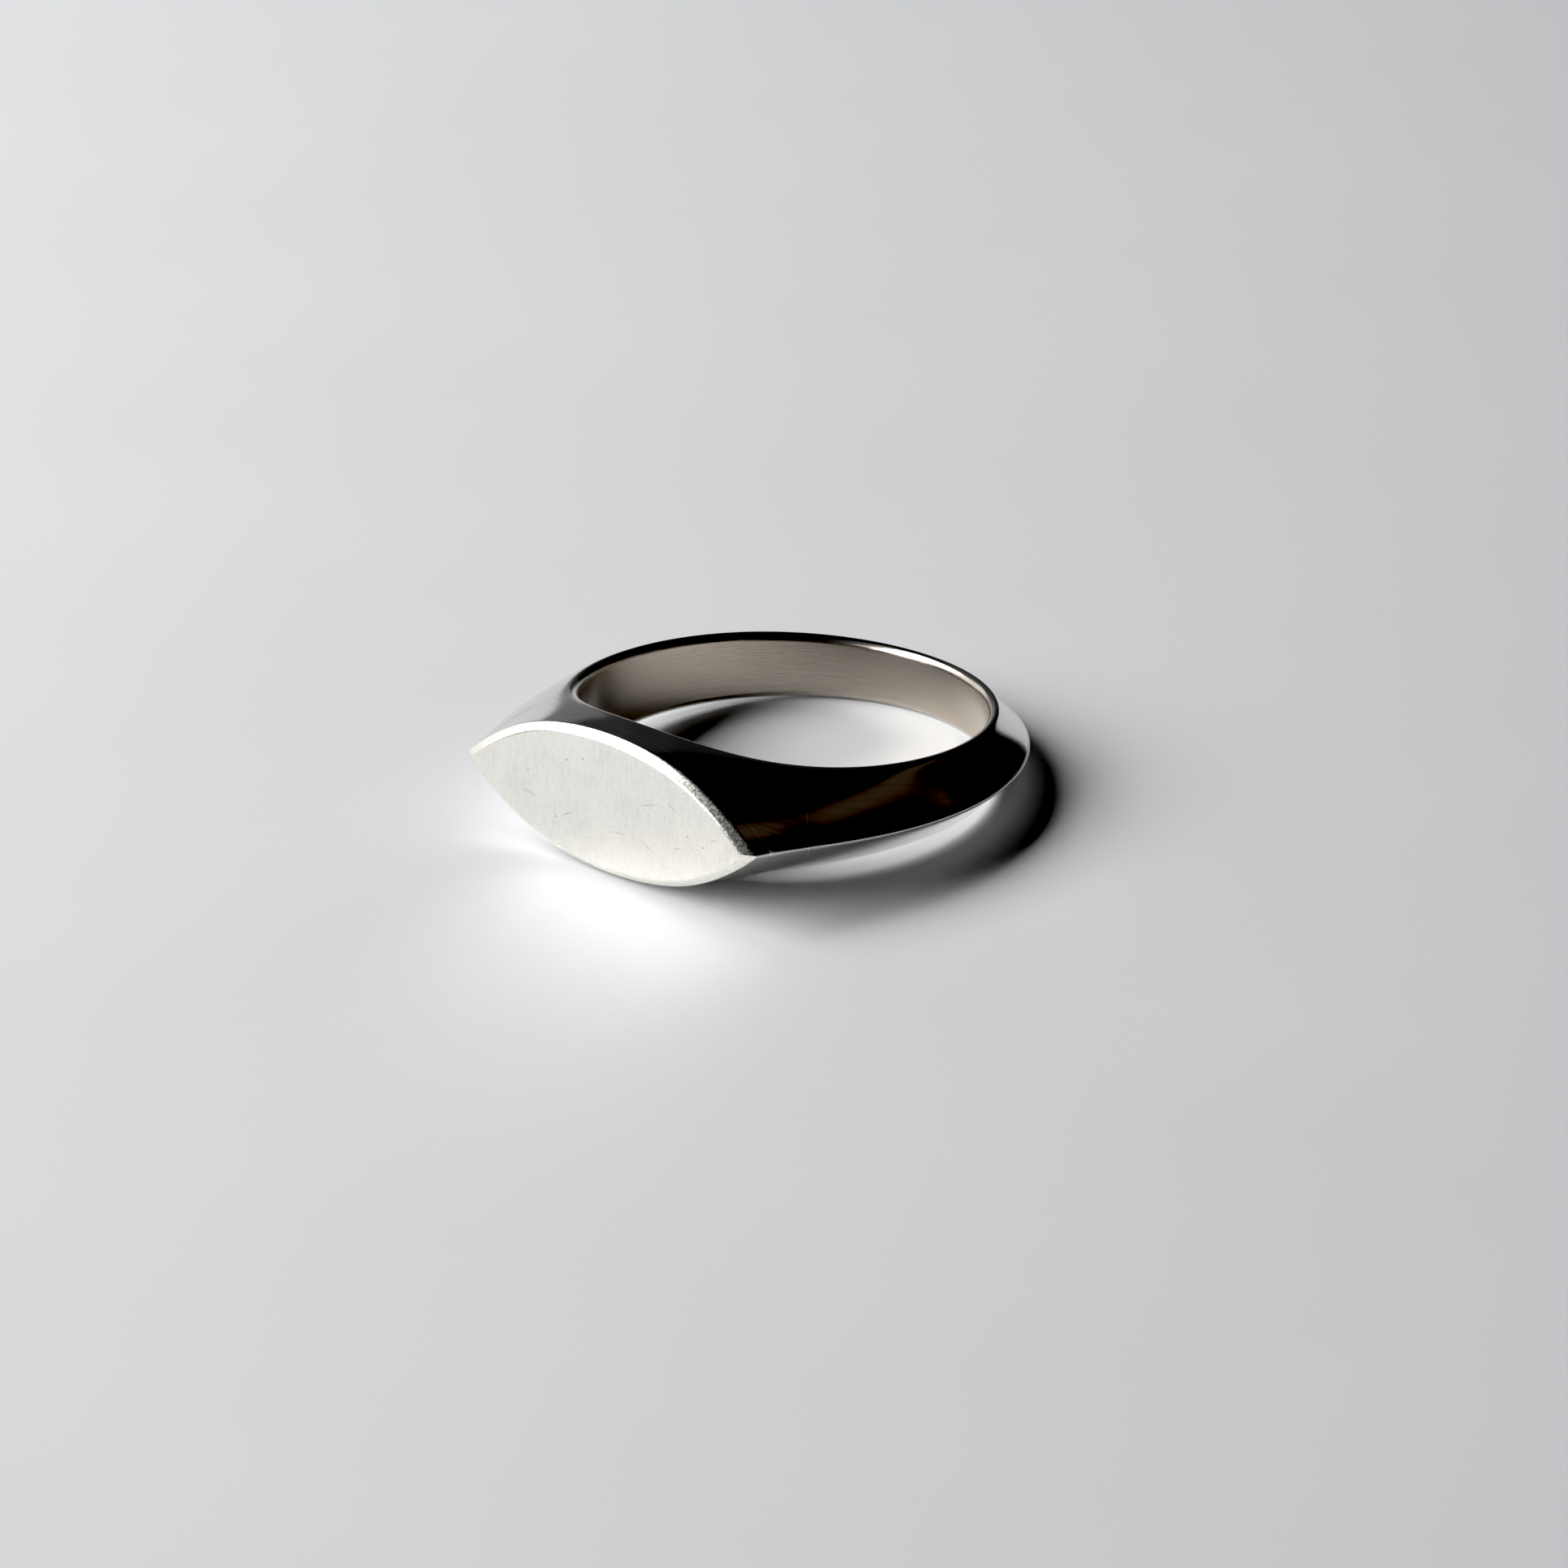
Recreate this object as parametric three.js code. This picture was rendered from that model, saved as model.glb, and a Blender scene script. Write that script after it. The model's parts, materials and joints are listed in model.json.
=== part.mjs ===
// Signet ring with a pointed-oval (marquise) seal table, made up from hand-fitted silver pieces.
//
// Millimetres. The ring lies on its side, as it does when it is put down: the finger bore runs
// roughly along Z, the table faces -Y and the row's +Z is up. +X runs along the table's length.
// The table is wider than the back of the shank, so the head lifts and the bore leans a few degrees.
//
// Every outside surface comes from one rule. A cut through the bore's axis at a given angle round
// the ring is a mirrored half section: bore wall, rounded rim, and a bevel that falls to a ridge at
// mid-height. Two quantities change with the angle: the rim's half-height, and how far the ridge
// stands off from the bore. The bevels belly out a little at the head and are slightly hollow along
// the shank. The table's plane cuts the head off square.

import * as THREE from 'three';

// Driving dimensions
const BORE_RADIUS = 8.75;          // 17.5 mm finger size
const RIM_RADIUS = 0.35;           // rounding where the bore meets a bevel
const HEAD_BEVEL_POWER = 1.32;     // 1 is a straight bevel; above it the bevel bellies out
const SHANK_BEVEL_POWER = 0.65;    // and below it the bevel is hollow
const BEVEL_CHANGE_START = 40;     // degrees between which the one bevel becomes the other
const BEVEL_CHANGE_END = 110;
const BEVEL_SOFTNESS = 0.08;       // rounding where the bevel leaves the rim, as a share of its width
const RIDGE_LAND = 0.09;           // half-height of the worn flat that the ridge ends in
const TABLE_DISTANCE = 10.95;      // bore axis to the table's plane
const TABLE_THICKNESS = 0.9;
const TABLE_CHAMFER = 0.3;         // leg of the bright edge round the table
const TABLE_TIP_INSET = 0.5;       // how far that edge pulls each tip of the flat back
const SOLDER_THICKNESS = 0.05;
const SOLDER_CLEARANCE = 0.005;    // between a solder film and the metal each side of it
const HEAD_JOINT_ANGLE = 48;       // degrees from the middle of the head
const SHANK_JOINT_ANGLE = 125;

// Rim half-height and ridge stand-off at angles round the ring, from the middle of the head (0) to
// the back of the shank (180). Between the tips of the table the ridge is imaginary: it runs on
// forward until it is nearly straight ahead, and the table's plane cuts it off.
const RIM_HALF_HEIGHT = { angles: [0, 40, 80, 120, 180], values: [3.18, 2.39, 1.82, 1.58, 1.38] };
const RIDGE_STAND_OFF = {
  angles: [0, 20, 40, 60, 90, 130, 180],
  values: [22.7, 12.4, 4.76, 3.38, 2.51, 1.89, 1.84],
};

// Mesh fineness
const RIM_STEPS = 4;
const BEVEL_STEPS = 6;
const ANGLE_STEP = 5;
const OUTLINE_STEPS = 24;
const SOLDER_STEPS = 1;

const METALS = {
  satin: { color: 0xd9d6cf, roughness: 0.42, metalness: 1 },
  polished: { color: 0xc9c6c0, roughness: 0.14, metalness: 1 },
  solder: { color: 0xcfc9b8, roughness: 0.3, metalness: 1 },
};

const radians = THREE.MathUtils.degToRad;
const degrees = THREE.MathUtils.radToDeg;

// A smooth curve through the stations, level at both ends, as a function of the angle in degrees.
function smoothStations(angles, values) {
  const last = angles.length - 1;
  const gap = (i) => angles[i + 1] - angles[i];
  const slope = (i) => (values[i + 1] - values[i]) / gap(i);
  const diagonal = [1];
  const right = [0];
  const above = [0];
  for (let i = 1; i < last; i += 1) {
    const below = gap(i);
    const factor = below / diagonal[i - 1];
    diagonal[i] = 2 * (gap(i - 1) + gap(i)) - factor * above[i - 1];
    above[i] = gap(i - 1);
    right[i] = 3 * (gap(i) * slope(i - 1) + gap(i - 1) * slope(i)) - factor * right[i - 1];
  }
  const tangents = new Array(last + 1).fill(0);
  for (let i = last - 1; i > 0; i -= 1) {
    tangents[i] = (right[i] - above[i] * tangents[i + 1]) / diagonal[i];
  }
  return (angle) => {
    let i = 0;
    while (i < last - 1 && angle > angles[i + 1]) i += 1;
    const t = (angle - angles[i]) / gap(i);
    const rise = values[i + 1] - values[i];
    const start = tangents[i] * gap(i);
    const end = tangents[i + 1] * gap(i);
    return values[i] + t * (start + t * (3 * rise - 2 * start - end + t * (start + end - 2 * rise)));
  };
}

// The same angle on either side of the ring, folded into 0 to 180 degrees.
function folded(angle) {
  const turned = Math.abs(angle) % 360;
  return turned > 180 ? 360 - turned : turned;
}

const rimCurve = smoothStations(RIM_HALF_HEIGHT.angles, RIM_HALF_HEIGHT.values);
const closenessCurve = smoothStations(
  RIDGE_STAND_OFF.angles,
  RIDGE_STAND_OFF.values.map((value) => 1 / value),
);
const rimHalfHeight = (angle) => rimCurve(folded(angle));
const ridgeRadius = (angle) => BORE_RADIUS + 1 / closenessCurve(folded(angle));

// The bevel's power at an angle: the head's, the shank's, or a smooth change between them.
function bevelPower(angle) {
  const share = THREE.MathUtils.smoothstep(folded(angle), BEVEL_CHANGE_START, BEVEL_CHANGE_END);
  return HEAD_BEVEL_POWER + (SHANK_BEVEL_POWER - HEAD_BEVEL_POWER) * share;
}

// How far the bevel has fallen, from 0 at the rim to 1 at the ridge, a share of the way along it.
function bevelFall(along, power) {
  const lift = BEVEL_SOFTNESS ** power;
  const full = (1 + BEVEL_SOFTNESS ** 2) ** (power / 2) - lift;
  return ((along ** 2 + BEVEL_SOFTNESS ** 2) ** (power / 2) - lift) / full;
}

// The share of the way along the bevel at which it has fallen so far.
function bevelReach(fall, power) {
  const lift = BEVEL_SOFTNESS ** power;
  const full = (1 + BEVEL_SOFTNESS ** 2) ** (power / 2) - lift;
  return Math.sqrt((fall * full + lift) ** (2 / power) - BEVEL_SOFTNESS ** 2);
}

// Height of the bevel above mid-height, at a radius and an angle.
function bevelHeight(radius, angle) {
  const start = BORE_RADIUS + RIM_RADIUS;
  const along = Math.max(0, (radius - start) / (ridgeRadius(angle) - start));
  return rimHalfHeight(angle) * (1 - bevelFall(along, bevelPower(angle)));
}

// Radius at which the bevel has come down to the ridge's worn flat.
function landRadius(angle) {
  const start = BORE_RADIUS + RIM_RADIUS;
  const along = bevelReach(1 - RIDGE_LAND / rimHalfHeight(angle), bevelPower(angle));
  return start + along * (ridgeRadius(angle) - start);
}

// Root of a falling function between two limits.
function bisect(low, high, falling) {
  for (let i = 0; i < 50; i += 1) {
    const middle = (low + high) / 2;
    if (falling(middle) > 0) low = middle;
    else high = middle;
  }
  return low;
}

// Angle at which a plane across the head meets the ridge: the angle of the outline's tip there.
function tipAngle(planeDistance) {
  return bisect(5, 80, (angle) => landRadius(angle) - planeDistance / Math.cos(radians(angle)));
}

function point(radius, angle, z) {
  const turn = radians(angle);
  return new THREE.Vector3(radius * Math.sin(turn), -radius * Math.cos(turn), z);
}

// Upper half of the section at an angle, from the bore wall outwards. A plane across the head
// ends the section early, so that its outer edge lies on that plane.
function halfSection(angle, planeDistance) {
  const height = rimHalfHeight(angle);
  const points = [];
  for (let i = 0; i <= RIM_STEPS; i += 1) {
    const turn = (i / RIM_STEPS) * (Math.PI / 2);
    const radius = BORE_RADIUS + RIM_RADIUS * (1 - Math.cos(turn));
    points.push(point(radius, angle, height - RIM_RADIUS * (1 - Math.sin(turn))));
  }
  const cosine = Math.cos(radians(angle));
  const planeRadius = cosine > 0 ? planeDistance / cosine : Infinity;
  const start = BORE_RADIUS + RIM_RADIUS;
  const end = Math.min(landRadius(angle), planeRadius);
  for (let i = 1; i <= BEVEL_STEPS; i += 1) {
    const radius = start + (i / BEVEL_STEPS) * (end - start);
    points.push(point(radius, angle, bevelHeight(radius, angle)));
  }
  return points;
}

// Upper half of the head's outline in a plane parallel to the table, from tip to tip.
function halfOutline(planeDistance) {
  const reach = planeDistance * Math.tan(radians(tipAngle(planeDistance)));
  const points = [];
  for (let i = 0; i <= OUTLINE_STEPS; i += 1) {
    const x = -reach * Math.cos((i / OUTLINE_STEPS) * Math.PI);
    const angle = degrees(Math.atan2(x, planeDistance));
    const z = bevelHeight(Math.hypot(x, planeDistance), angle);
    points.push(new THREE.Vector3(x, -planeDistance, z));
  }
  return points;
}

// The flat of the table: its outline drawn in by the chamfer, a little more at the two tips.
function flatOutline() {
  const outline = halfOutline(TABLE_DISTANCE);
  const alongScale = 1 - TABLE_TIP_INSET / outline[OUTLINE_STEPS].x;
  const acrossScale = 1 - TABLE_CHAMFER / outline[OUTLINE_STEPS / 2].z;
  return outline.map((p) => new THREE.Vector3(p.x * alongScale, p.y, p.z * acrossScale));
}

// Closed solid through a row of half loops, each mirrored about mid-height to close it.
function loft(halves) {
  const half = halves[0].length;
  const count = 2 * half;
  const positions = [];
  for (const points of halves) {
    for (const p of points) positions.push(p.x, p.y, p.z);
    for (const p of [...points].reverse()) positions.push(p.x, p.y, -p.z);
  }
  const index = [];
  const last = halves.length - 1;
  for (let j = 0; j < last; j += 1) {
    for (let i = 0; i < count; i += 1) {
      const a = j * count + i;
      const b = j * count + ((i + 1) % count);
      index.push(a, b, a + count, b, b + count, a + count);
    }
  }
  for (let i = 0; i < half - 1; i += 1) {
    const far = last * count;
    const opposite = count - 1 - i;
    index.push(i, opposite, i + 1, i + 1, opposite, opposite - 1);
    index.push(far + i, far + i + 1, far + opposite);
    index.push(far + i + 1, far + opposite - 1, far + opposite);
  }
  const geometry = new THREE.BufferGeometry();
  geometry.setAttribute('position', new THREE.Float32BufferAttribute(positions, 3));
  geometry.setIndex(index);
  geometry.computeVertexNormals();
  return geometry;
}

function evenAngles(from, to, steps) {
  return Array.from({ length: steps + 1 }, (_, i) => from + ((to - from) * i) / steps);
}

// A stretch of the hoop between angles, with sections at even steps between each pair.
function hoopStretch(corners, planeDistance, steps) {
  const angles = [corners[0]];
  for (let i = 1; i < corners.length; i += 1) {
    const span = corners[i] - corners[i - 1];
    const count = steps ?? Math.max(1, Math.round(span / ANGLE_STEP));
    angles.push(...evenAngles(corners[i - 1], corners[i], count).slice(1));
  }
  return loft(angles.map((angle) => halfSection(angle, planeDistance)));
}

function piece(name, geometry, metal) {
  const mesh = new THREE.Mesh(geometry, new THREE.MeshStandardMaterial(METALS[metal]));
  mesh.name = name;
  return mesh;
}

// Angle that a length takes up at the bore's surface.
const angleOf = (length) => degrees(length / BORE_RADIUS);

const HALF_JOINT = angleOf(SOLDER_THICKNESS) / 2 + angleOf(SOLDER_CLEARANCE);
const SEAT_DISTANCE = TABLE_DISTANCE - TABLE_THICKNESS;
const HEAD_DISTANCE = SEAT_DISTANCE - SOLDER_THICKNESS - 2 * SOLDER_CLEARANCE;

// Flat marquise plate with a chamfered edge. Its side carries on the bevels of the shoulders.
function sealTable() {
  const outlines = [
    flatOutline(),
    halfOutline(TABLE_DISTANCE - TABLE_CHAMFER),
    halfOutline(SEAT_DISTANCE),
  ];
  return piece('seal_table', loft(outlines), 'satin');
}

// Film of hard solder under the table.
function tableSolder() {
  const outlines = [
    halfOutline(SEAT_DISTANCE - SOLDER_CLEARANCE),
    halfOutline(HEAD_DISTANCE + SOLDER_CLEARANCE),
  ];
  return piece('table_solder', loft(outlines), 'solder');
}

// Block between the table and the finger, up to the joints with the shoulders.
function headBlock() {
  const tip = tipAngle(HEAD_DISTANCE);
  const end = HEAD_JOINT_ANGLE - HALF_JOINT;
  return piece('head_block', hoopStretch([-end, -tip, tip, end], HEAD_DISTANCE), 'polished');
}

function shoulder(name, side) {
  const angles = [HEAD_JOINT_ANGLE + HALF_JOINT, SHANK_JOINT_ANGLE - HALF_JOINT];
  const corners = side > 0 ? angles : angles.map((angle) => -angle).reverse();
  return piece(name, hoopStretch(corners, Infinity), 'polished');
}

function shank() {
  const start = SHANK_JOINT_ANGLE + HALF_JOINT;
  return piece('shank', hoopStretch([start, 360 - start], Infinity), 'polished');
}

// Film of hard solder in a butt joint across the hoop.
function hoopSolder(name, angle) {
  const half = angleOf(SOLDER_THICKNESS) / 2;
  return piece(name, hoopStretch([angle - half, angle + half], Infinity, SOLDER_STEPS), 'solder');
}

// Lean of the bore when the ring lies down: head and shank then reach equally low.
function restLean(ring) {
  const heightDifference = (lean) => {
    ring.rotation.x = -lean;
    ring.updateMatrixWorld(true);
    const vertex = new THREE.Vector3();
    const lowest = { head: Infinity, back: Infinity };
    for (const mesh of ring.children) {
      const positions = mesh.geometry.getAttribute('position');
      for (let i = 0; i < positions.count; i += 1) {
        vertex.fromBufferAttribute(positions, i);
        const side = vertex.y < 0 ? 'head' : 'back';
        lowest[side] = Math.min(lowest[side], vertex.applyMatrix4(ring.matrixWorld).z);
      }
    }
    return lowest.back - lowest.head;
  };
  return bisect(0, radians(20), heightDifference);
}

const ring = new THREE.Group();
ring.add(
  sealTable(),
  tableSolder(),
  headBlock(),
  hoopSolder('head_solder_left', -HEAD_JOINT_ANGLE),
  hoopSolder('head_solder_right', HEAD_JOINT_ANGLE),
  shoulder('shoulder_left', -1),
  shoulder('shoulder_right', 1),
  hoopSolder('shank_solder_left', -SHANK_JOINT_ANGLE),
  hoopSolder('shank_solder_right', SHANK_JOINT_ANGLE),
  shank(),
);
ring.rotation.x = -restLean(ring);

// Stand the ring on Z = 0 with its bounding box centred on the Z axis.
const part = new THREE.Group();
part.add(ring);
part.updateMatrixWorld(true);
const extent = new THREE.Box3().setFromObject(part, true);
const middle = extent.getCenter(new THREE.Vector3());
ring.position.set(-middle.x, -middle.y, -extent.min.z);

export default part;
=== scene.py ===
"""Signet ring with a pointed-oval seal table, lying on its side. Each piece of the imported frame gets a
fine mesh of the same shape, worked out from the same sections, with satin, polished or solder silver."""
import json
import math
import random

import bpy
import numpy as np
from mathutils import Matrix, Vector


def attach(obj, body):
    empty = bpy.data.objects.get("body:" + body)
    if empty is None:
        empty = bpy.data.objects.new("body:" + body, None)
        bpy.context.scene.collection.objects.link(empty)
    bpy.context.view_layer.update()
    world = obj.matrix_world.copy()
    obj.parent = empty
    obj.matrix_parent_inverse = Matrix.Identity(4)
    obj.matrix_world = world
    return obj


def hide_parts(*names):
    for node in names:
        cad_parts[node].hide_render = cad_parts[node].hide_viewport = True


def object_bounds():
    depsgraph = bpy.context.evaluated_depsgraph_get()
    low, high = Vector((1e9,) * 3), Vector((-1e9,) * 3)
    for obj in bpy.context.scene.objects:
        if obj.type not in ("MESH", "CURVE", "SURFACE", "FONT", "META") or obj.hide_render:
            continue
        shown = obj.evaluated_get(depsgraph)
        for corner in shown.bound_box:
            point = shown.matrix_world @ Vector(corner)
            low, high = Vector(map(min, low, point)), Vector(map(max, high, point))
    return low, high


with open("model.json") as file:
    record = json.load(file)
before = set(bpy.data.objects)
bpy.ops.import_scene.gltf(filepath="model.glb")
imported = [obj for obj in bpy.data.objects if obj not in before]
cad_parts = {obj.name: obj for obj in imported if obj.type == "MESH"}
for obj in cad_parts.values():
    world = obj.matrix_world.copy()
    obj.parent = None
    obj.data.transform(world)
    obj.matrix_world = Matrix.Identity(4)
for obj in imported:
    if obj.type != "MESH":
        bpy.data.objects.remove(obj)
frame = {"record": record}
CAD_LOW, CAD_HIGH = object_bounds()

MM = 0.001
FIT = 0.9997                     # keeps the round surfaces inside the faceted solids' box

# Driving dimensions, in millimetres and degrees, in the ring's own frame: the bore runs along Z and
# the table faces -Y. They are the CAD model's own.
BORE_RADIUS = 8.75
RIM_RADIUS = 0.35                # rounding where the bore meets a bevel
HEAD_BEVEL_POWER = 1.32          # 1 is a straight bevel; above it the bevel bellies out
SHANK_BEVEL_POWER = 0.65         # and below it the bevel is hollow
BEVEL_CHANGE_START = 40          # between these angles the one bevel becomes the other
BEVEL_CHANGE_END = 110
BEVEL_SOFTNESS = 0.08            # rounding where the bevel leaves the rim, as a share of its width
RIDGE_LAND = 0.09                # half-height at which the sharp ridge is worn off
TABLE_DISTANCE = 10.95           # bore axis to the table's plane
TABLE_THICKNESS = 0.9
TABLE_CHAMFER = 0.3              # leg of the bright edge round the table
TABLE_TIP_INSET = 0.5            # how far that edge pulls each tip of the flat back
SOLDER_THICKNESS = 0.05
HEAD_JOINT_ANGLE = 48.0          # from the middle of the head
SHANK_JOINT_ANGLE = 125.0

# Rim half-height and ridge stand-off at angles from the middle of the head to the back of the shank
RIM_HALF_HEIGHT = ([0, 40, 80, 120, 180], [3.18, 2.39, 1.82, 1.58, 1.38])
RIDGE_STAND_OFF = ([0, 20, 40, 60, 90, 130, 180], [22.7, 12.4, 4.76, 3.38, 2.51, 1.89, 1.84])

# Mesh fineness
ANGLE_STEP = 1.0
BORE_STEPS = 5
RIM_STEPS = 9
BEVEL_STEPS = 26
OUTLINE_STEPS = 180
CHAMFER_CORNER = 0.07            # half-width of the small rounds either side of the chamfer
CORNER_STEPS = 5
SIDE_STEPS = 5
SMALL_LENGTH = 1e-3              # steps over which slopes are measured
SMALL_ANGLE = 0.05
RIM_SLOPE_ANGLE = 0.5
LEAST_COSINE = 0.01              # beyond it a section never meets a plane across the head


# --- The ring's shape --------------------------------------------------------------------------

def smooth_stations(angles, values):
    """A smooth curve through the stations, level at both ends, as a function of the angle."""
    angles = np.array(angles, float)
    values = np.array(values, float)
    gap = np.diff(angles)
    slope = np.diff(values) / gap
    count = len(angles)
    matrix = np.eye(count)
    right = np.zeros(count)
    for i in range(1, count - 1):
        matrix[i, i - 1:i + 2] = gap[i], 2 * (gap[i - 1] + gap[i]), gap[i - 1]
        right[i] = 3 * (gap[i] * slope[i - 1] + gap[i - 1] * slope[i])
    tangent = np.linalg.solve(matrix, right)

    def curve(angle):
        i = np.clip(np.searchsorted(angles, angle) - 1, 0, count - 2)
        t = (angle - angles[i]) / gap[i]
        rise = values[i + 1] - values[i]
        start = tangent[i] * gap[i]
        end = tangent[i + 1] * gap[i]
        return values[i] + t * (start + t * (3 * rise - 2 * start - end + t * (start + end - 2 * rise)))

    return curve


def folded(angle):
    """The same angle on either side of the ring, folded into 0 to 180 degrees."""
    turned = np.abs(angle) % 360
    return np.where(turned > 180, 360 - turned, turned)


rim_curve = smooth_stations(*RIM_HALF_HEIGHT)
closeness_curve = smooth_stations(RIDGE_STAND_OFF[0], 1 / np.array(RIDGE_STAND_OFF[1]))
BEVEL_START = BORE_RADIUS + RIM_RADIUS


def rim_half_height(angle):
    return rim_curve(folded(angle))


def ridge_radius(angle):
    return BORE_RADIUS + 1 / closeness_curve(folded(angle))


def bevel_power(angle):
    """The power of the bevel's curve: the head's, the shank's, or a smooth change between them."""
    share = np.clip((folded(angle) - BEVEL_CHANGE_START) / (BEVEL_CHANGE_END - BEVEL_CHANGE_START), 0, 1)
    return HEAD_BEVEL_POWER + (SHANK_BEVEL_POWER - HEAD_BEVEL_POWER) * share ** 2 * (3 - 2 * share)


def bevel_fall(along, power):
    """How far the bevel has fallen, from 0 at the rim to 1 at the ridge, a share of the way along it."""
    lift = BEVEL_SOFTNESS ** power
    full = (1 + BEVEL_SOFTNESS ** 2) ** (power / 2) - lift
    return ((along ** 2 + BEVEL_SOFTNESS ** 2) ** (power / 2) - lift) / full


def bevel_reach(fall, power):
    """The share of the way along the bevel at which it has fallen so far."""
    lift = BEVEL_SOFTNESS ** power
    full = (1 + BEVEL_SOFTNESS ** 2) ** (power / 2) - lift
    return np.sqrt((fall * full + lift) ** (2 / power) - BEVEL_SOFTNESS ** 2)


def sharp_height(radius, angle):
    """Height of the bevel above mid-height, as if the ridge were a knife edge."""
    along = np.maximum(0, (radius - BEVEL_START) / (ridge_radius(angle) - BEVEL_START))
    return rim_half_height(angle) * (1 - bevel_fall(along, bevel_power(angle)))


def worn_height(radius, angle):
    """The same with the ridge worn round, so that the surface reaches mid-height at the land."""
    return np.sqrt(np.maximum(sharp_height(radius, angle) ** 2 - RIDGE_LAND ** 2, 0))


def land_radius(angle):
    along = bevel_reach(1 - RIDGE_LAND / rim_half_height(angle), bevel_power(angle))
    return BEVEL_START + along * (ridge_radius(angle) - BEVEL_START)


def tip_angle(plane_distance):
    """Angle at which a plane across the head meets the ridge."""
    low, high = 5.0, 80.0
    for _ in range(50):
        middle = (low + high) / 2
        if land_radius(middle) > plane_distance / math.cos(math.radians(middle)):
            low = middle
        else:
            high = middle
    return low


def directions(angle):
    """Outward and onward unit vectors at an angle round the ring."""
    turn = np.radians(angle)
    nought = np.zeros_like(turn)
    outward = np.stack([np.sin(turn), -np.cos(turn), nought], -1)
    onward = np.stack([np.cos(turn), np.sin(turn), nought], -1)
    return outward, onward


def bevel_normal(radius, angle, height):
    """Normal of the worn upper bevel, from the slopes of the sharp one."""
    sharp = sharp_height(radius, angle)
    rise = sharp_height(radius + SMALL_LENGTH, angle) - sharp_height(radius - SMALL_LENGTH, angle)
    along_radius = rise / (2 * SMALL_LENGTH)
    rise = sharp_height(radius, angle + SMALL_ANGLE) - sharp_height(radius, angle - SMALL_ANGLE)
    along_turn = rise / (2 * math.radians(SMALL_ANGLE)) / radius
    outward, onward = directions(angle)
    normal = -(sharp * along_radius)[..., None] * outward - (sharp * along_turn)[..., None] * onward
    normal[..., 2] += height
    return normal / np.linalg.norm(normal, axis=-1, keepdims=True)


def rim_slope(angles):
    """Rise of the rim along the hoop, where the bevel starts."""
    rise = rim_half_height(angles + RIM_SLOPE_ANGLE) - rim_half_height(angles - RIM_SLOPE_ANGLE)
    return rise / (2 * math.radians(RIM_SLOPE_ANGLE)) / BEVEL_START


def bevel_end(angles, plane_distance):
    """Radius at which each section ends, and whether a plane across the head cuts it off there."""
    cosine = np.cos(np.radians(angles))
    faces_plane = cosine > LEAST_COSINE
    plane_radius = np.where(faces_plane, plane_distance / np.maximum(cosine, LEAST_COSINE), np.inf)
    land = land_radius(angles)
    return np.minimum(land, plane_radius), plane_radius < land


def half_sections(angles, plane_distance):
    """Points and normals of the upper half sections, from mid-height in the bore out to the ridge."""
    angles = np.asarray(angles, float)
    height = rim_half_height(angles)
    outward, onward = directions(angles)
    slope = rim_slope(angles)
    points = []
    normals = []

    def add_row(radius, level, normal):
        place = np.reshape(radius, (-1, 1)) * outward
        place[:, 2] = level
        points.append(place)
        normals.append(normal)

    for i in range(BORE_STEPS):
        add_row(BORE_RADIUS, (height - RIM_RADIUS) * i / BORE_STEPS, -outward)
    for i in range(RIM_STEPS + 1):
        turn = math.pi / 2 * i / RIM_STEPS
        normal = -math.cos(turn) * outward - math.sin(turn) * slope[:, None] * onward
        normal[:, 2] = math.sin(turn)
        normal = normal / np.linalg.norm(normal, axis=-1, keepdims=True)
        radius = BORE_RADIUS + RIM_RADIUS * (1 - math.cos(turn))
        add_row(radius, height - RIM_RADIUS * (1 - math.sin(turn)), normal)
    end, cut_off = bevel_end(angles, plane_distance)
    for i in range(1, BEVEL_STEPS + 1):
        share = np.where(cut_off, min(1, i / (BEVEL_STEPS - 1)), 1 - (1 - i / BEVEL_STEPS) ** 2)
        radius = BEVEL_START + share * (end - BEVEL_START)
        level = worn_height(radius, angles) if i < BEVEL_STEPS else np.zeros_like(radius)
        add_row(radius, level, bevel_normal(radius, angles, level))
    return np.stack(points, 1), np.stack(normals, 1)


def half_outline(plane_distance):
    """Points and normals of the head's upper outline in a plane parallel to the table."""
    reach = plane_distance * math.tan(math.radians(tip_angle(plane_distance)))
    x = -reach * np.cos(np.linspace(0, math.pi, OUTLINE_STEPS + 1))
    angle = np.degrees(np.arctan2(x, plane_distance))
    radius = np.hypot(x, plane_distance)
    z = worn_height(radius, angle)
    z[[0, -1]] = 0
    points = np.stack([x, np.full_like(x, -plane_distance), z], -1)
    return points, bevel_normal(radius, angle, z)


# --- Meshes ------------------------------------------------------------------------------------

FINE = "_fine"
mount = frame["record"]["mounts"][0]
table_normal = Vector(mount["axis"]).normalized()
lean = math.atan2(table_normal.z, -table_normal.y)
bore_centre = Vector(mount["pos_m"]) - table_normal * TABLE_DISTANCE * MM
TO_ROW = Matrix.Translation(bore_centre) @ Matrix.Rotation(-lean, 4, "X") @ Matrix.Scale(MM * FIT, 4)


def full_loops(halves):
    """Closed loops from upper halves that start and end at mid-height."""
    lower = halves[:, -2:0:-1]
    if halves.ndim == 3:
        lower = lower * np.array([1, 1, -1])
    return np.concatenate([halves, lower], 1)


def set_marks(mesh, marks):
    """Stores named numbers on the points, for the materials to read."""
    for name, values in marks.items():
        attribute = mesh.attributes.new(name, "FLOAT", "POINT")
        attribute.data.foreach_set("value", np.asarray(values, np.float32).ravel())


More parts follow.
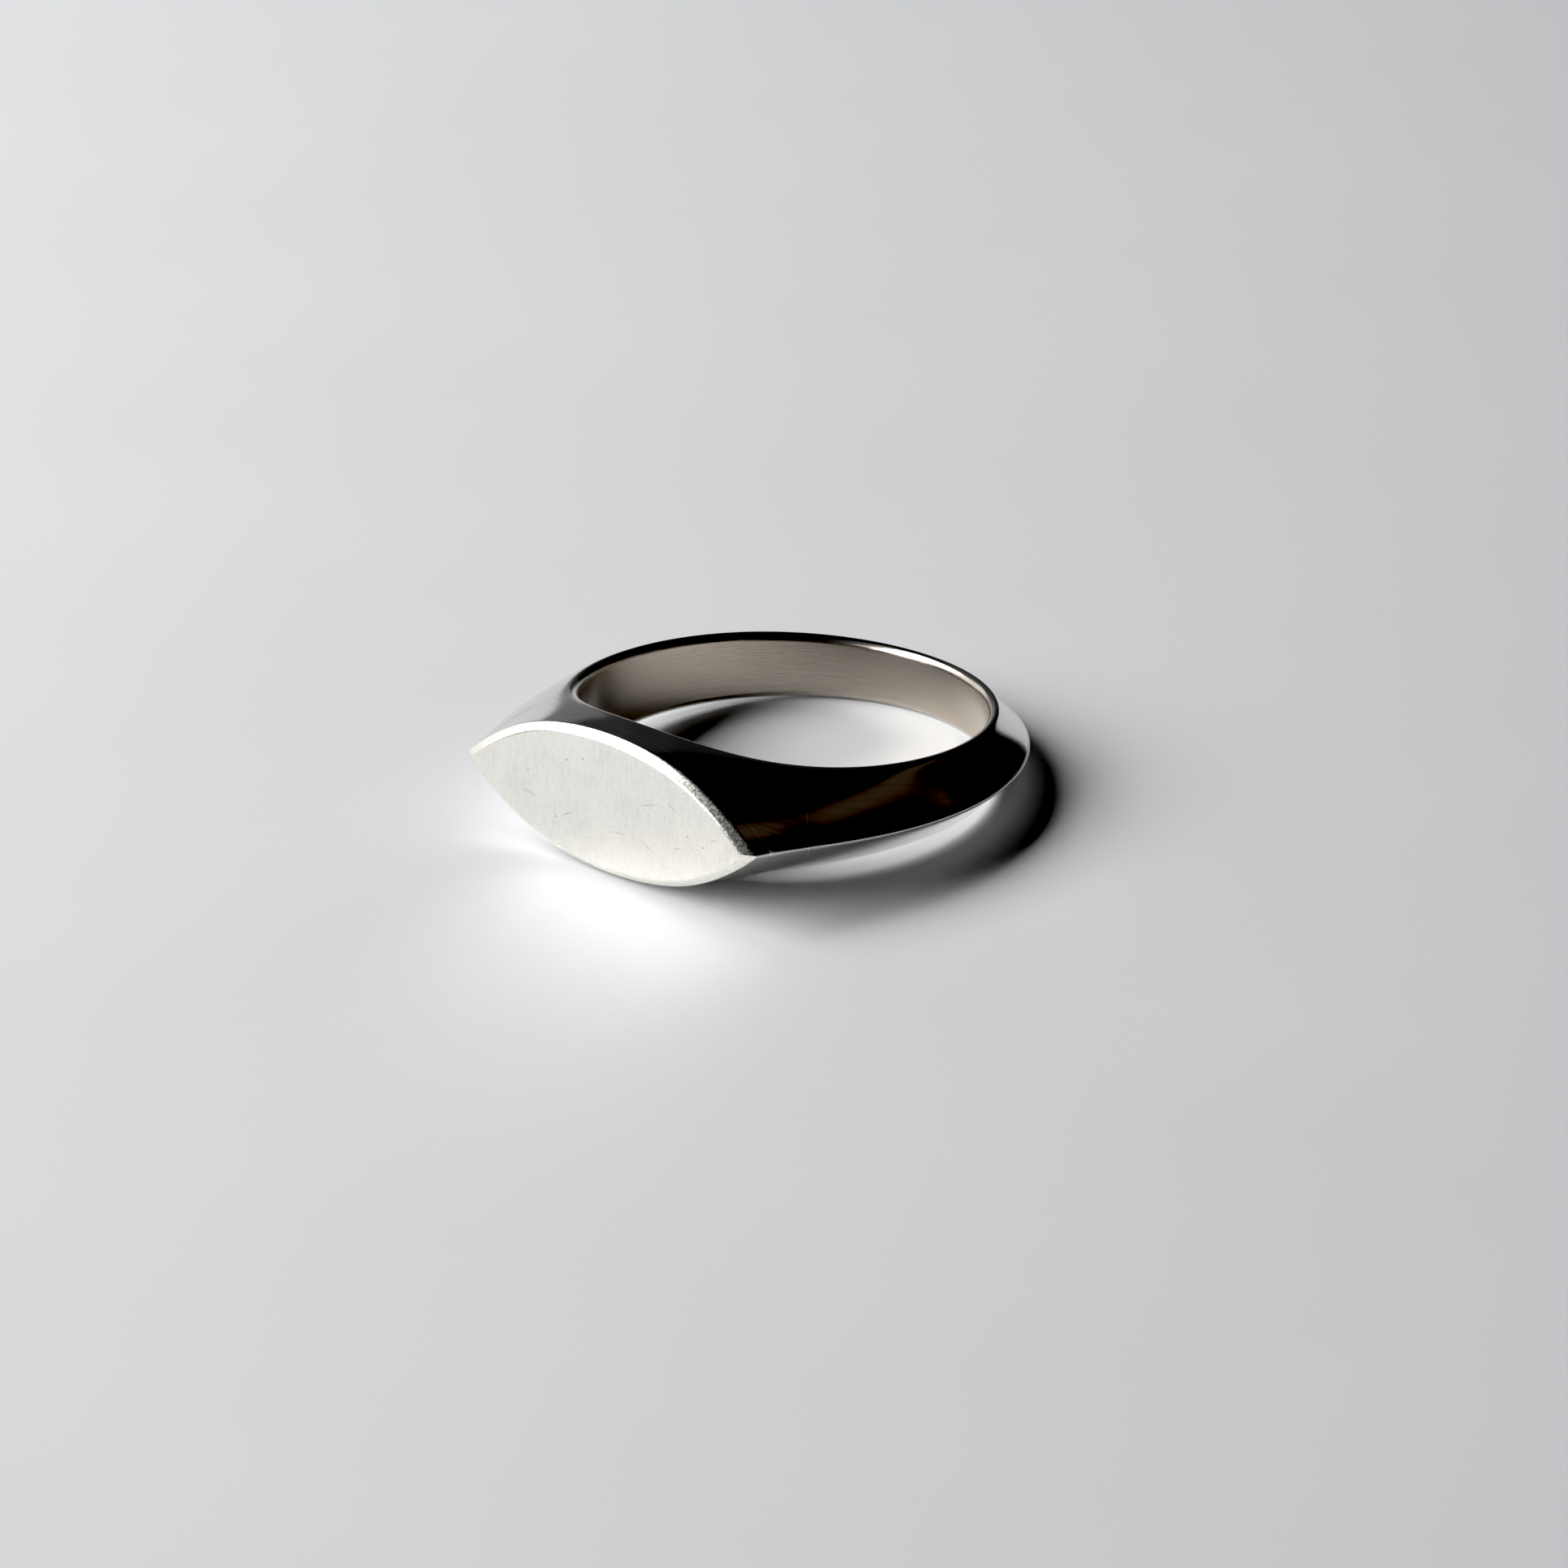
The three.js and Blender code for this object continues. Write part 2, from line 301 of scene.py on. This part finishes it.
def loft_piece(name, loops, shading, marks, material):
    """Closed mesh through rows of loops, with a flat face at each end. It stands for its namesake."""
    rows, count = loops.shape[:2]
    vertices = loops.reshape(-1, 3)
    shading = shading.reshape(-1, 3)
    faces = []
    corner_normals = []
    for j in range(rows - 1):
        for i in range(count):
            following = (i + 1) % count
            near = j * count
            far = near + count
            corners = [near + i, near + following, far + following, far + i]
            faces.append(corners)
            corner_normals.extend(shading[corners])
    first_end = list(range(count))[::-1]
    last_end = list(range((rows - 1) * count, rows * count))
    for corners in (first_end, last_end):
        faces.append(corners)
        a, b, c = (vertices[corners[k * count // 3]] for k in range(3))
        normal = np.cross(b - a, c - b)
        corner_normals.extend([normal / np.linalg.norm(normal)] * count)
    mesh = bpy.data.meshes.new(name)
    mesh.from_pydata([tuple(v) for v in vertices], [], faces)
    mesh.polygons.foreach_set("use_smooth", np.ones(len(faces), bool))
    mesh.materials.append(material)
    set_marks(mesh, marks)
    mesh.normals_split_custom_set([tuple(n) for n in corner_normals])
    mesh.transform(TO_ROW)
    piece = bpy.data.objects.new(name, mesh)
    bpy.context.scene.collection.objects.link(piece)
    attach(piece, "root")
    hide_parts(name.removesuffix(FINE))
    return piece


# --- Pieces of the hoop ------------------------------------------------------------------------

RIDGE_WEAR_WIDTH = 0.12
JOINT_HALF_ANGLE = math.degrees(SOLDER_THICKNESS / BORE_RADIUS) / 2
SEAT_DISTANCE = TABLE_DISTANCE - TABLE_THICKNESS
HEAD_DISTANCE = SEAT_DISTANCE - SOLDER_THICKNESS


def ridge_wear(height):
    return np.exp(-((height / RIDGE_WEAR_WIDTH) ** 2))


def hoop_marks(points, angles):
    """Marks along the half sections: how far a point is inside the bore, on the rim or on the ridge,
    and its place along the hoop and across the section, in millimetres."""
    rows, half = points.shape[:2]
    inside = np.zeros(half)
    rim = np.zeros(half)
    inside[:BORE_STEPS] = 1
    turn = np.linspace(0, math.pi / 2, RIM_STEPS + 1)
    on_rim = slice(BORE_STEPS, BORE_STEPS + RIM_STEPS + 1)
    inside[on_rim] = np.cos(turn) ** 2
    rim[on_rim] = np.sin(2 * turn)
    on_bevel = np.arange(half) > BORE_STEPS + RIM_STEPS
    steps = np.linalg.norm(np.diff(points, axis=1), axis=-1)
    across = np.concatenate([np.zeros((rows, 1)), np.cumsum(steps, 1)], 1)
    along = np.radians(np.asarray(angles))[:, None] * BORE_RADIUS * np.ones((1, half))
    return {
        "inside": np.tile(inside, (rows, 1)),
        "rim": np.tile(rim, (rows, 1)),
        "ridge": ridge_wear(points[..., 2]) * on_bevel,
        "table": np.zeros((rows, half)),
        "edge": np.zeros((rows, half)),
        "along": along,
        "across": across,
    }


def hoop_piece(node, corners, plane_distance, material):
    """A stretch of the hoop between angles, with a section at each corner and at even steps between."""
    angles = [corners[0]]
    for start, end in zip(corners, corners[1:]):
        count = max(1, round((end - start) / ANGLE_STEP))
        angles.extend(np.linspace(start, end, count + 1)[1:])
    points, normals = half_sections(angles, plane_distance)
    marks = {key: full_loops(value) for key, value in hoop_marks(points, angles).items()}
    return loft_piece(node + FINE, full_loops(points), full_loops(normals), marks, material)


def make_hoop(silver, solder):
    head_end = HEAD_JOINT_ANGLE - JOINT_HALF_ANGLE
    tip = tip_angle(HEAD_DISTANCE)
    hoop_piece("head_block", [-head_end, -tip, tip, head_end], HEAD_DISTANCE, silver)
    shoulder = [HEAD_JOINT_ANGLE + JOINT_HALF_ANGLE, SHANK_JOINT_ANGLE - JOINT_HALF_ANGLE]
    hoop_piece("shoulder_right", shoulder, np.inf, silver)
    hoop_piece("shoulder_left", [-angle for angle in shoulder[::-1]], np.inf, silver)
    shank_start = SHANK_JOINT_ANGLE + JOINT_HALF_ANGLE
    hoop_piece("shank", [shank_start, 360 - shank_start], np.inf, silver)
    for joint, angle in (("head_solder", HEAD_JOINT_ANGLE), ("shank_solder", SHANK_JOINT_ANGLE)):
        for side, turned in (("right", angle), ("left", -angle)):
            ends = [turned - JOINT_HALF_ANGLE, turned + JOINT_HALF_ANGLE]
            hoop_piece(f"{joint}_{side}", ends, np.inf, solder)


# --- The table ---------------------------------------------------------------------------------

ROUNDED_FLAT_SHARE = 0.7         # how far the first row of the rounded corner still counts as flat


def side_rows(distances):
    """Full outlines in planes through the head, with the bevels' own normals."""
    pairs = [half_outline(distance) for distance in distances]
    points = full_loops(np.stack([points for points, _ in pairs]))
    normals = full_loops(np.stack([normals for _, normals in pairs]))
    return points, normals


def table_marks(loops, on_flat, on_edge):
    """Marks for the table: its flat and chamfer count as such, and its tips are worn like the ridge."""
    rows, count = loops.shape[:2]
    nought = np.zeros((rows, count))
    return {
        "inside": nought,
        "rim": nought,
        "ridge": ridge_wear(loops[..., 2]) * (1 - on_flat[:, None]),
        "table": on_flat[:, None] * np.ones((1, count)),
        "edge": on_edge[:, None] * np.ones((1, count)),
        "along": loops[..., 0],
        "across": loops[..., 2],
    }


def rounded_corner(before, corner, after):
    """Points of a small round from one side of a corner to the other."""
    share = np.linspace(0, 1, CORNER_STEPS)[:, None]
    before, corner, after = (np.array(place, float) for place in (before, corner, after))
    return (1 - share) ** 2 * before + 2 * share * (1 - share) * corner + share ** 2 * after


def chamfer_profile():
    """(inset, drop) from the edge of the flat, over the chamfer, to the top of the side."""
    leg = TABLE_CHAMFER
    round_leg = CHAMFER_CORNER
    inner = rounded_corner((leg + round_leg, 0), (leg, 0), (leg - round_leg, round_leg))
    outer = rounded_corner((round_leg, leg - round_leg), (0, leg), (0, leg + round_leg))
    return np.concatenate([inner, outer])


def inset_outline(inset, drop):
    """Full outline below the table's plane by the drop, drawn in by the inset."""
    half, _ = half_outline(TABLE_DISTANCE - drop)
    tip_share = TABLE_TIP_INSET / TABLE_CHAMFER
    scale = np.array([1 - inset * tip_share / half[-1, 0], 1, 1 - inset / half[OUTLINE_STEPS // 2, 2]])
    return full_loops((half * scale)[None])[0]


def surface_normals(loops):
    """Normals of rows of closed loops, from the slopes along and between them."""
    around = np.roll(loops, -1, 1) - np.roll(loops, 1, 1)
    normal = np.cross(around, np.gradient(loops, axis=0))
    return normal / np.linalg.norm(normal, axis=-1, keepdims=True)


def make_table(satin, solder):
    profile = chamfer_profile()
    edge = np.stack([inset_outline(inset, drop) for inset, drop in profile])
    edge_normals = surface_normals(edge)
    edge_normals[0] = (0, -1, 0)
    side_start = TABLE_DISTANCE - TABLE_CHAMFER - CHAMFER_CORNER
    side, side_normals = side_rows(np.linspace(side_start, SEAT_DISTANCE, SIDE_STEPS + 1)[1:])
    edge_normals[-1] = side_rows([side_start])[1][0]
    loops = np.concatenate([edge, side])
    normals = np.concatenate([edge_normals, side_normals])
    on_flat = np.zeros(len(loops))
    on_flat[:2] = 1, ROUNDED_FLAT_SHARE
    on_edge = np.zeros(len(loops))
    on_edge[1:len(profile) - 1] = 1
    marks = table_marks(loops, on_flat, on_edge)
    loft_piece("seal_table" + FINE, loops, normals, marks, satin)
    film, film_normals = side_rows([SEAT_DISTANCE, HEAD_DISTANCE])
    marks = table_marks(film, np.zeros(2), np.zeros(2))
    loft_piece("table_solder" + FINE, film, film_normals, marks, solder)


# --- Materials ---------------------------------------------------------------------------------

class Nodes:
    """Short ways to add and join shader nodes in one material."""

    def __init__(self, name):
        self.material = bpy.data.materials.new(name)
        self.material.use_nodes = True
        self.tree = self.material.node_tree
        self.tree.nodes.clear()

    def add(self, kind, inputs=(), **settings):
        node = self.tree.nodes.new(kind)
        for key, value in settings.items():
            setattr(node, key, value)
        for key, value in dict(inputs).items():
            if isinstance(value, bpy.types.NodeSocket):
                self.tree.links.new(value, node.inputs[key])
            else:
                node.inputs[key].default_value = value
        return node

    def math(self, operation, first, second):
        return self.add("ShaderNodeMath", {0: first, 1: second}, operation=operation).outputs[0]

    def plus(self, *values):
        total = values[0]
        for value in values[1:]:
            total = self.math("ADD", total, value)
        return total

    def times(self, first, second):
        return self.math("MULTIPLY", first, second)

    def mark(self, name):
        return self.add("ShaderNodeAttribute", attribute_name=name).outputs["Fac"]

    def places(self, scale):
        """The piece's own coordinates, in millimetres times a scale along each axis."""
        coordinates = self.add("ShaderNodeTexCoord").outputs["Object"]
        size = tuple(share / MM for share in scale)
        return self.add("ShaderNodeMapping", {"Vector": coordinates, "Scale": size}).outputs[0]

    def noise(self, vector, scale, detail, roughness):
        inputs = {"Vector": vector, "Scale": scale, "Detail": detail, "Roughness": roughness}
        return self.add("ShaderNodeTexNoise", inputs).outputs["Fac"]

    def ramp(self, value, low, high, start=0.0, end=1.0):
        """value from low to high becomes start to end, smoothly, and stays there beyond."""
        inputs = {"Value": value, "From Min": low, "From Max": high, "To Min": start, "To Max": end}
        node = self.add("ShaderNodeMapRange", inputs, interpolation_type="SMOOTHSTEP")
        return node.outputs[0]

    def spread(self, noise, start, end):
        """Noise, which mostly lies between 0.3 and 0.7, spread out from start to end."""
        return self.ramp(noise, 0.3, 0.7, start, end)

    def blend(self, share, first, second):
        """Mix of two numbers."""
        return self.add("ShaderNodeMix", {"Factor": share, 2: first, 3: second}).outputs[0]

    def tint(self, share, first, second):
        """Mix of two colours."""
        node = self.add("ShaderNodeMix", data_type="RGBA")
        for key, value in (("Factor", share), (6, first), (7, second)):
            if isinstance(value, bpy.types.NodeSocket):
                self.tree.links.new(value, node.inputs[key])
            else:
                node.inputs[key].default_value = value
        return node.outputs[2]

    def marks_on_table(self, marks):
        """Slender marks in the table's plane, each from its middle, angle, length and width in mm."""
        coordinates = self.add("ShaderNodeTexCoord").outputs["Object"]
        deepest = None
        for x, z, angle, length, width in marks:
            place = TO_ROW @ Vector((x, -TABLE_DISTANCE, z))
            turn = (-lean, -math.radians(angle), 0)
            size = (length / 2 * MM, MM, width / 2 * MM)
            inputs = {"Vector": coordinates, "Location": place, "Rotation": turn, "Scale": size}
            drawn = self.add("ShaderNodeMapping", inputs, vector_type="TEXTURE").outputs[0]
            gradient = self.add("ShaderNodeTexGradient", {"Vector": drawn}, gradient_type="SPHERICAL")
            mark = gradient.outputs["Fac"]
            deepest = mark if deepest is None else self.math("MAXIMUM", deepest, mark)
        return self.ramp(deepest, 0.0, 0.5)

    def finish(self, shader):
        output = self.add("ShaderNodeOutputMaterial")
        self.tree.links.new(shader.outputs[0], output.inputs["Surface"])
        return self.material


POLISHED_SILVER = (0.74, 0.73, 0.71, 1)
TABLE_SILVER = (0.965, 0.94, 0.875, 1)
BORE_SILVER = (0.52, 0.465, 0.40, 1)
SOLDER_SILVER = (0.91, 0.895, 0.86, 1)
DARK_MARK = (0.40, 0.36, 0.31, 1)

# Wear strewn over the table, in millimetres and degrees
WEAR_SEED = 5
WEAR_LEFT = -4.5
WEAR_RIGHT = 7
WEAR_HALF_HEIGHT = 2.2
WEAR_REACH = 8.5                 # distance along the table at which that height has shrunk to nothing
wear = random.Random(WEAR_SEED)


def strewn_marks(count, lengths, width, turn):
    """(along, up, angle, length, width) of marks strewn over the table."""
    marks = []
    for _ in range(count):
        along = wear.uniform(WEAR_LEFT, WEAR_RIGHT)
        up = wear.uniform(-WEAR_HALF_HEIGHT, WEAR_HALF_HEIGHT) * (1 - abs(along) / WEAR_REACH)
        marks.append((along, up, wear.uniform(-turn, turn), wear.uniform(*lengths), width))
    return marks


TABLE_SCRATCHES = strewn_marks(8, (0.6, 1.1), 0.05, 30)
TABLE_PITS = strewn_marks(6, (0.1, 0.18), 0.11, 90)

BUMP_HEIGHT = 0.002 * MM


def silver_patterns(n):
    """The grain of the metal, from broad mottling to the hairlines that run round the hoop."""
    course = n.add("ShaderNodeCombineXYZ", {"X": n.mark("along"), "Y": n.mark("across")}).outputs[0]
    hairs = n.add("ShaderNodeMapping", {"Vector": course, "Scale": (0.25, 22, 1)}).outputs[0]
    return {
        "broad": n.noise(n.places((1, 1, 1)), 0.6, 4.0, 0.6),
        "grain": n.noise(n.places((1, 1, 1)), 11.0, 3.0, 0.6),
        "weave": n.noise(n.places((9, 1.5, 1.5)), 1.0, 3.0, 0.6),
        "hairlines": n.noise(hairs, 1.0, 3.0, 0.65),
        "scuffs": n.ramp(n.noise(course, 5.0, 5.0, 0.7), 0.25, 0.75),
        "scratches": n.marks_on_table(TABLE_SCRATCHES),
        "pits": n.marks_on_table(TABLE_PITS),
    }


def silver_roughness(n, marks, patterns, worn_ridge):
    """Polished outside, finely brushed inside, scuffed along the ridge and satin on the table."""
    outside = n.spread(patterns["hairlines"], 0.09, 0.16)
    inside = n.spread(patterns["hairlines"], 0.16, 0.24)
    roughness = n.blend(marks["inside"], outside, inside)
    roughness = n.blend(worn_ridge, roughness, 0.40)
    roughness = n.blend(marks["edge"], roughness, n.spread(patterns["grain"], 0.18, 0.28))
    roughness = n.blend(marks["table"], roughness, n.spread(patterns["broad"], 0.275, 0.29))
    return n.plus(roughness, n.times(marks["rim"], 0.05))


def silver_colour(n, marks, patterns, polished_colour):
    """The polished colour, darker in the bore and paler on the table, with dark scratches and pits."""
    colour = n.tint(marks["inside"], polished_colour, BORE_SILVER)
    grain = n.spread(patterns["grain"], -0.05, 0.05)
    weave = n.spread(patterns["weave"], -0.04, 0.04)
    broad = n.spread(patterns["broad"], -0.035, 0.03)
    value = n.plus(grain, weave, broad, 1.0)
    satin = n.add("ShaderNodeHueSaturation", {"Color": TABLE_SILVER, "Value": value})
    colour = n.tint(n.math("MAXIMUM", marks["table"], marks["edge"]), colour, satin.outputs[0])
    colour = n.tint(n.times(patterns["pits"], 0.7), colour, DARK_MARK)
    return n.tint(n.times(patterns["scratches"], 0.55), colour, DARK_MARK)


def silver_height(n, marks, patterns, worn_ridge):
    """Height of the fine relief, as a share of BUMP_HEIGHT."""
    hairlines = n.times(patterns["hairlines"], n.blend(marks["inside"], 0.03, 4.0))
    grain = n.times(patterns["grain"], n.blend(marks["table"], 0.03, 0.9))
    weave = n.times(n.times(patterns["weave"], 1.4), marks["table"])
    scuffs = n.times(n.times(patterns["scuffs"], 2.0), worn_ridge)
    damage = n.times(n.plus(patterns["scratches"], patterns["pits"]), 0.6)
    return n.math("SUBTRACT", n.plus(hairlines, grain, weave, scuffs), damage)


def silver_material(name, polished_colour):
    """Silver whose finish follows the marks on the mesh: polished, brushed, satin or worn."""
    n = Nodes(name)
    marks = {mark: n.mark(mark) for mark in ("inside", "ridge", "table", "rim", "edge")}
    patterns = silver_patterns(n)
    worn_ridge = n.times(n.ramp(marks["ridge"], 0.15, 0.6), n.blend(patterns["scuffs"], 0.7, 1.0))
    height = silver_height(n, marks, patterns, worn_ridge)
    bump = n.add("ShaderNodeBump", {"Height": height, "Strength": 1.0, "Distance": BUMP_HEIGHT})
    shader = n.add("ShaderNodeBsdfPrincipled", {
        "Base Color": silver_colour(n, marks, patterns, polished_colour),
        "Metallic": 1.0,
        "Roughness": silver_roughness(n, marks, patterns, worn_ridge),
        "Normal": bump.outputs[0],
    })
    return n.finish(shader)


def floor_material():
    n = Nodes("pale_floor")
    mottle = n.noise(n.places((1, 1, 1)), 0.05, 3.0, 0.5)
    colour = n.tint(mottle, (0.70, 0.71, 0.725, 1), (0.74, 0.75, 0.76, 1))
    inputs = {"Base Color": colour, "Roughness": 0.75, "Specular IOR Level": 0.1}
    return n.finish(n.add("ShaderNodeBsdfPrincipled", inputs))


# --- Floor, camera and light -------------------------------------------------------------------

FLOOR_HALF_WIDTH = 1.5
CARD_DISTANCE = 0.5
DIM_WALL_LAYERS = 8              # the dim wall fades out sideways in this many steps
ROOM_BRIGHTNESS = 0.002
BLACK_LEVEL = 0.022              # brightness that shows as black
WHITE = (1.0, 1.0, 1.0)
WARM = (1.0, 0.78, 0.64)

CAMERA_AZIMUTH = 44.95
CAMERA_ELEVATION = 25.555
CAMERA_ROLL = -3.976
CAMERA_DISTANCE = 247.4          # millimetres from the bore's centre
CAMERA_LENS = 132.66
LOOK_BELOW_BORE = 2.0            # millimetres from the bore's centre down to the middle of the view


def heading(azimuth, elevation):
    """Unit vector towards an azimuth, from -Y round to +X, and an elevation, in degrees."""
    a = math.radians(azimuth)
    e = math.radians(elevation)
    return Vector((math.sin(a) * math.cos(e), -math.cos(a) * math.cos(e), math.sin(e)))


def make_floor():
    mesh = bpy.data.meshes.new("floor")
    w = FLOOR_HALF_WIDTH
    mesh.from_pydata([(-w, -w, 0), (w, -w, 0), (w, w, 0), (-w, w, 0)], [], [(0, 1, 2, 3)])
    mesh.materials.append(floor_material())
    floor = bpy.data.objects.new("floor", mesh)
    floor.location.z = CAD_LOW.z
    bpy.context.scene.collection.objects.link(floor)


def make_camera():
    data = bpy.data.cameras.new("camera")
    data.lens = CAMERA_LENS
    data.clip_start = 0.01
    data.clip_end = 10
    camera = bpy.data.objects.new("camera", data)
    bpy.context.scene.collection.objects.link(camera)
    back = heading(CAMERA_AZIMUTH, CAMERA_ELEVATION)
    level_right = heading(CAMERA_AZIMUTH + 90, 0)
    turned = Matrix.Rotation(math.radians(CAMERA_ROLL), 3, back)
    right = turned @ level_right
    up = turned @ back.cross(level_right)
    location = bore_centre + back * CAMERA_DISTANCE * MM - up * LOOK_BELOW_BORE * MM
    rotation = Matrix((right, up, back)).transposed().to_4x4()
    camera.matrix_world = Matrix.Translation(location) @ rotation
    bpy.context.scene.camera = camera


def make_card(name, azimuth, elevation, width, height, radiance, colour=WHITE, spin=0.0):
    """A flat glowing card that faces the ring. radiance is its brightness as the ring mirrors it."""
    data = bpy.data.lights.new(name, "AREA")
    data.shape = "RECTANGLE"
    data.size = width
    data.size_y = height
    data.energy = radiance * math.pi * width * height
    data.color = colour
    card = bpy.data.objects.new(name, data)
    away = heading(azimuth, elevation)
    facing = away.to_track_quat("Z", "Y").to_matrix().to_4x4()
    turned = facing @ Matrix.Rotation(math.radians(spin), 4, "Z")
    card.matrix_world = Matrix.Translation(bore_centre + away * CARD_DISTANCE) @ turned
    bpy.context.scene.collection.objects.link(card)


def make_light():
    """A window ahead on the left, its paler side, a wall that fades from left to back, a warm card
    behind on the right, and a nearly dark room."""
    make_card("window", -50, 37, 0.58, 0.28, 8.8, spin=-24)
    make_card("window_side", -86, 12, 0.40, 0.20, 1.0)
    make_card("low_wall", -118, 6, 0.26, 0.10, 0.13)
    for i in range(DIM_WALL_LAYERS):
        make_card(f"dim_wall_{i}", -116 - 2.5 * i, 20, 0.14 + 0.055 * i, 0.24 + 0.02 * i, 0.0085)
    make_card("warm_card", 155, 51, 0.29, 0.045, 0.062, WARM, -61)
    world = bpy.data.worlds.new("studio")
    bpy.context.scene.world = world
    world.use_nodes = True
    background = world.node_tree.nodes["Background"]
    background.inputs["Color"].default_value = (0.9, 0.95, 1.0, 1)
    background.inputs["Strength"].default_value = ROOM_BRIGHTNESS


def set_view():
    """Shows the light as it is, with a firm black, and keeps the light that silver throws sharp."""
    bpy.context.scene.cycles.blur_glossy = 0.0
    view = bpy.context.scene.view_settings
    view.view_transform = "Standard"
    view.use_curve_mapping = True
    view.curve_mapping.black_level = (BLACK_LEVEL, BLACK_LEVEL, BLACK_LEVEL)
    view.curve_mapping.update()


make_camera()
make_floor()
make_light()
set_view()
silver = silver_material("silver", POLISHED_SILVER)
solder = silver_material("solder_silver", SOLDER_SILVER)
make_hoop(silver, solder)
make_table(silver, solder)
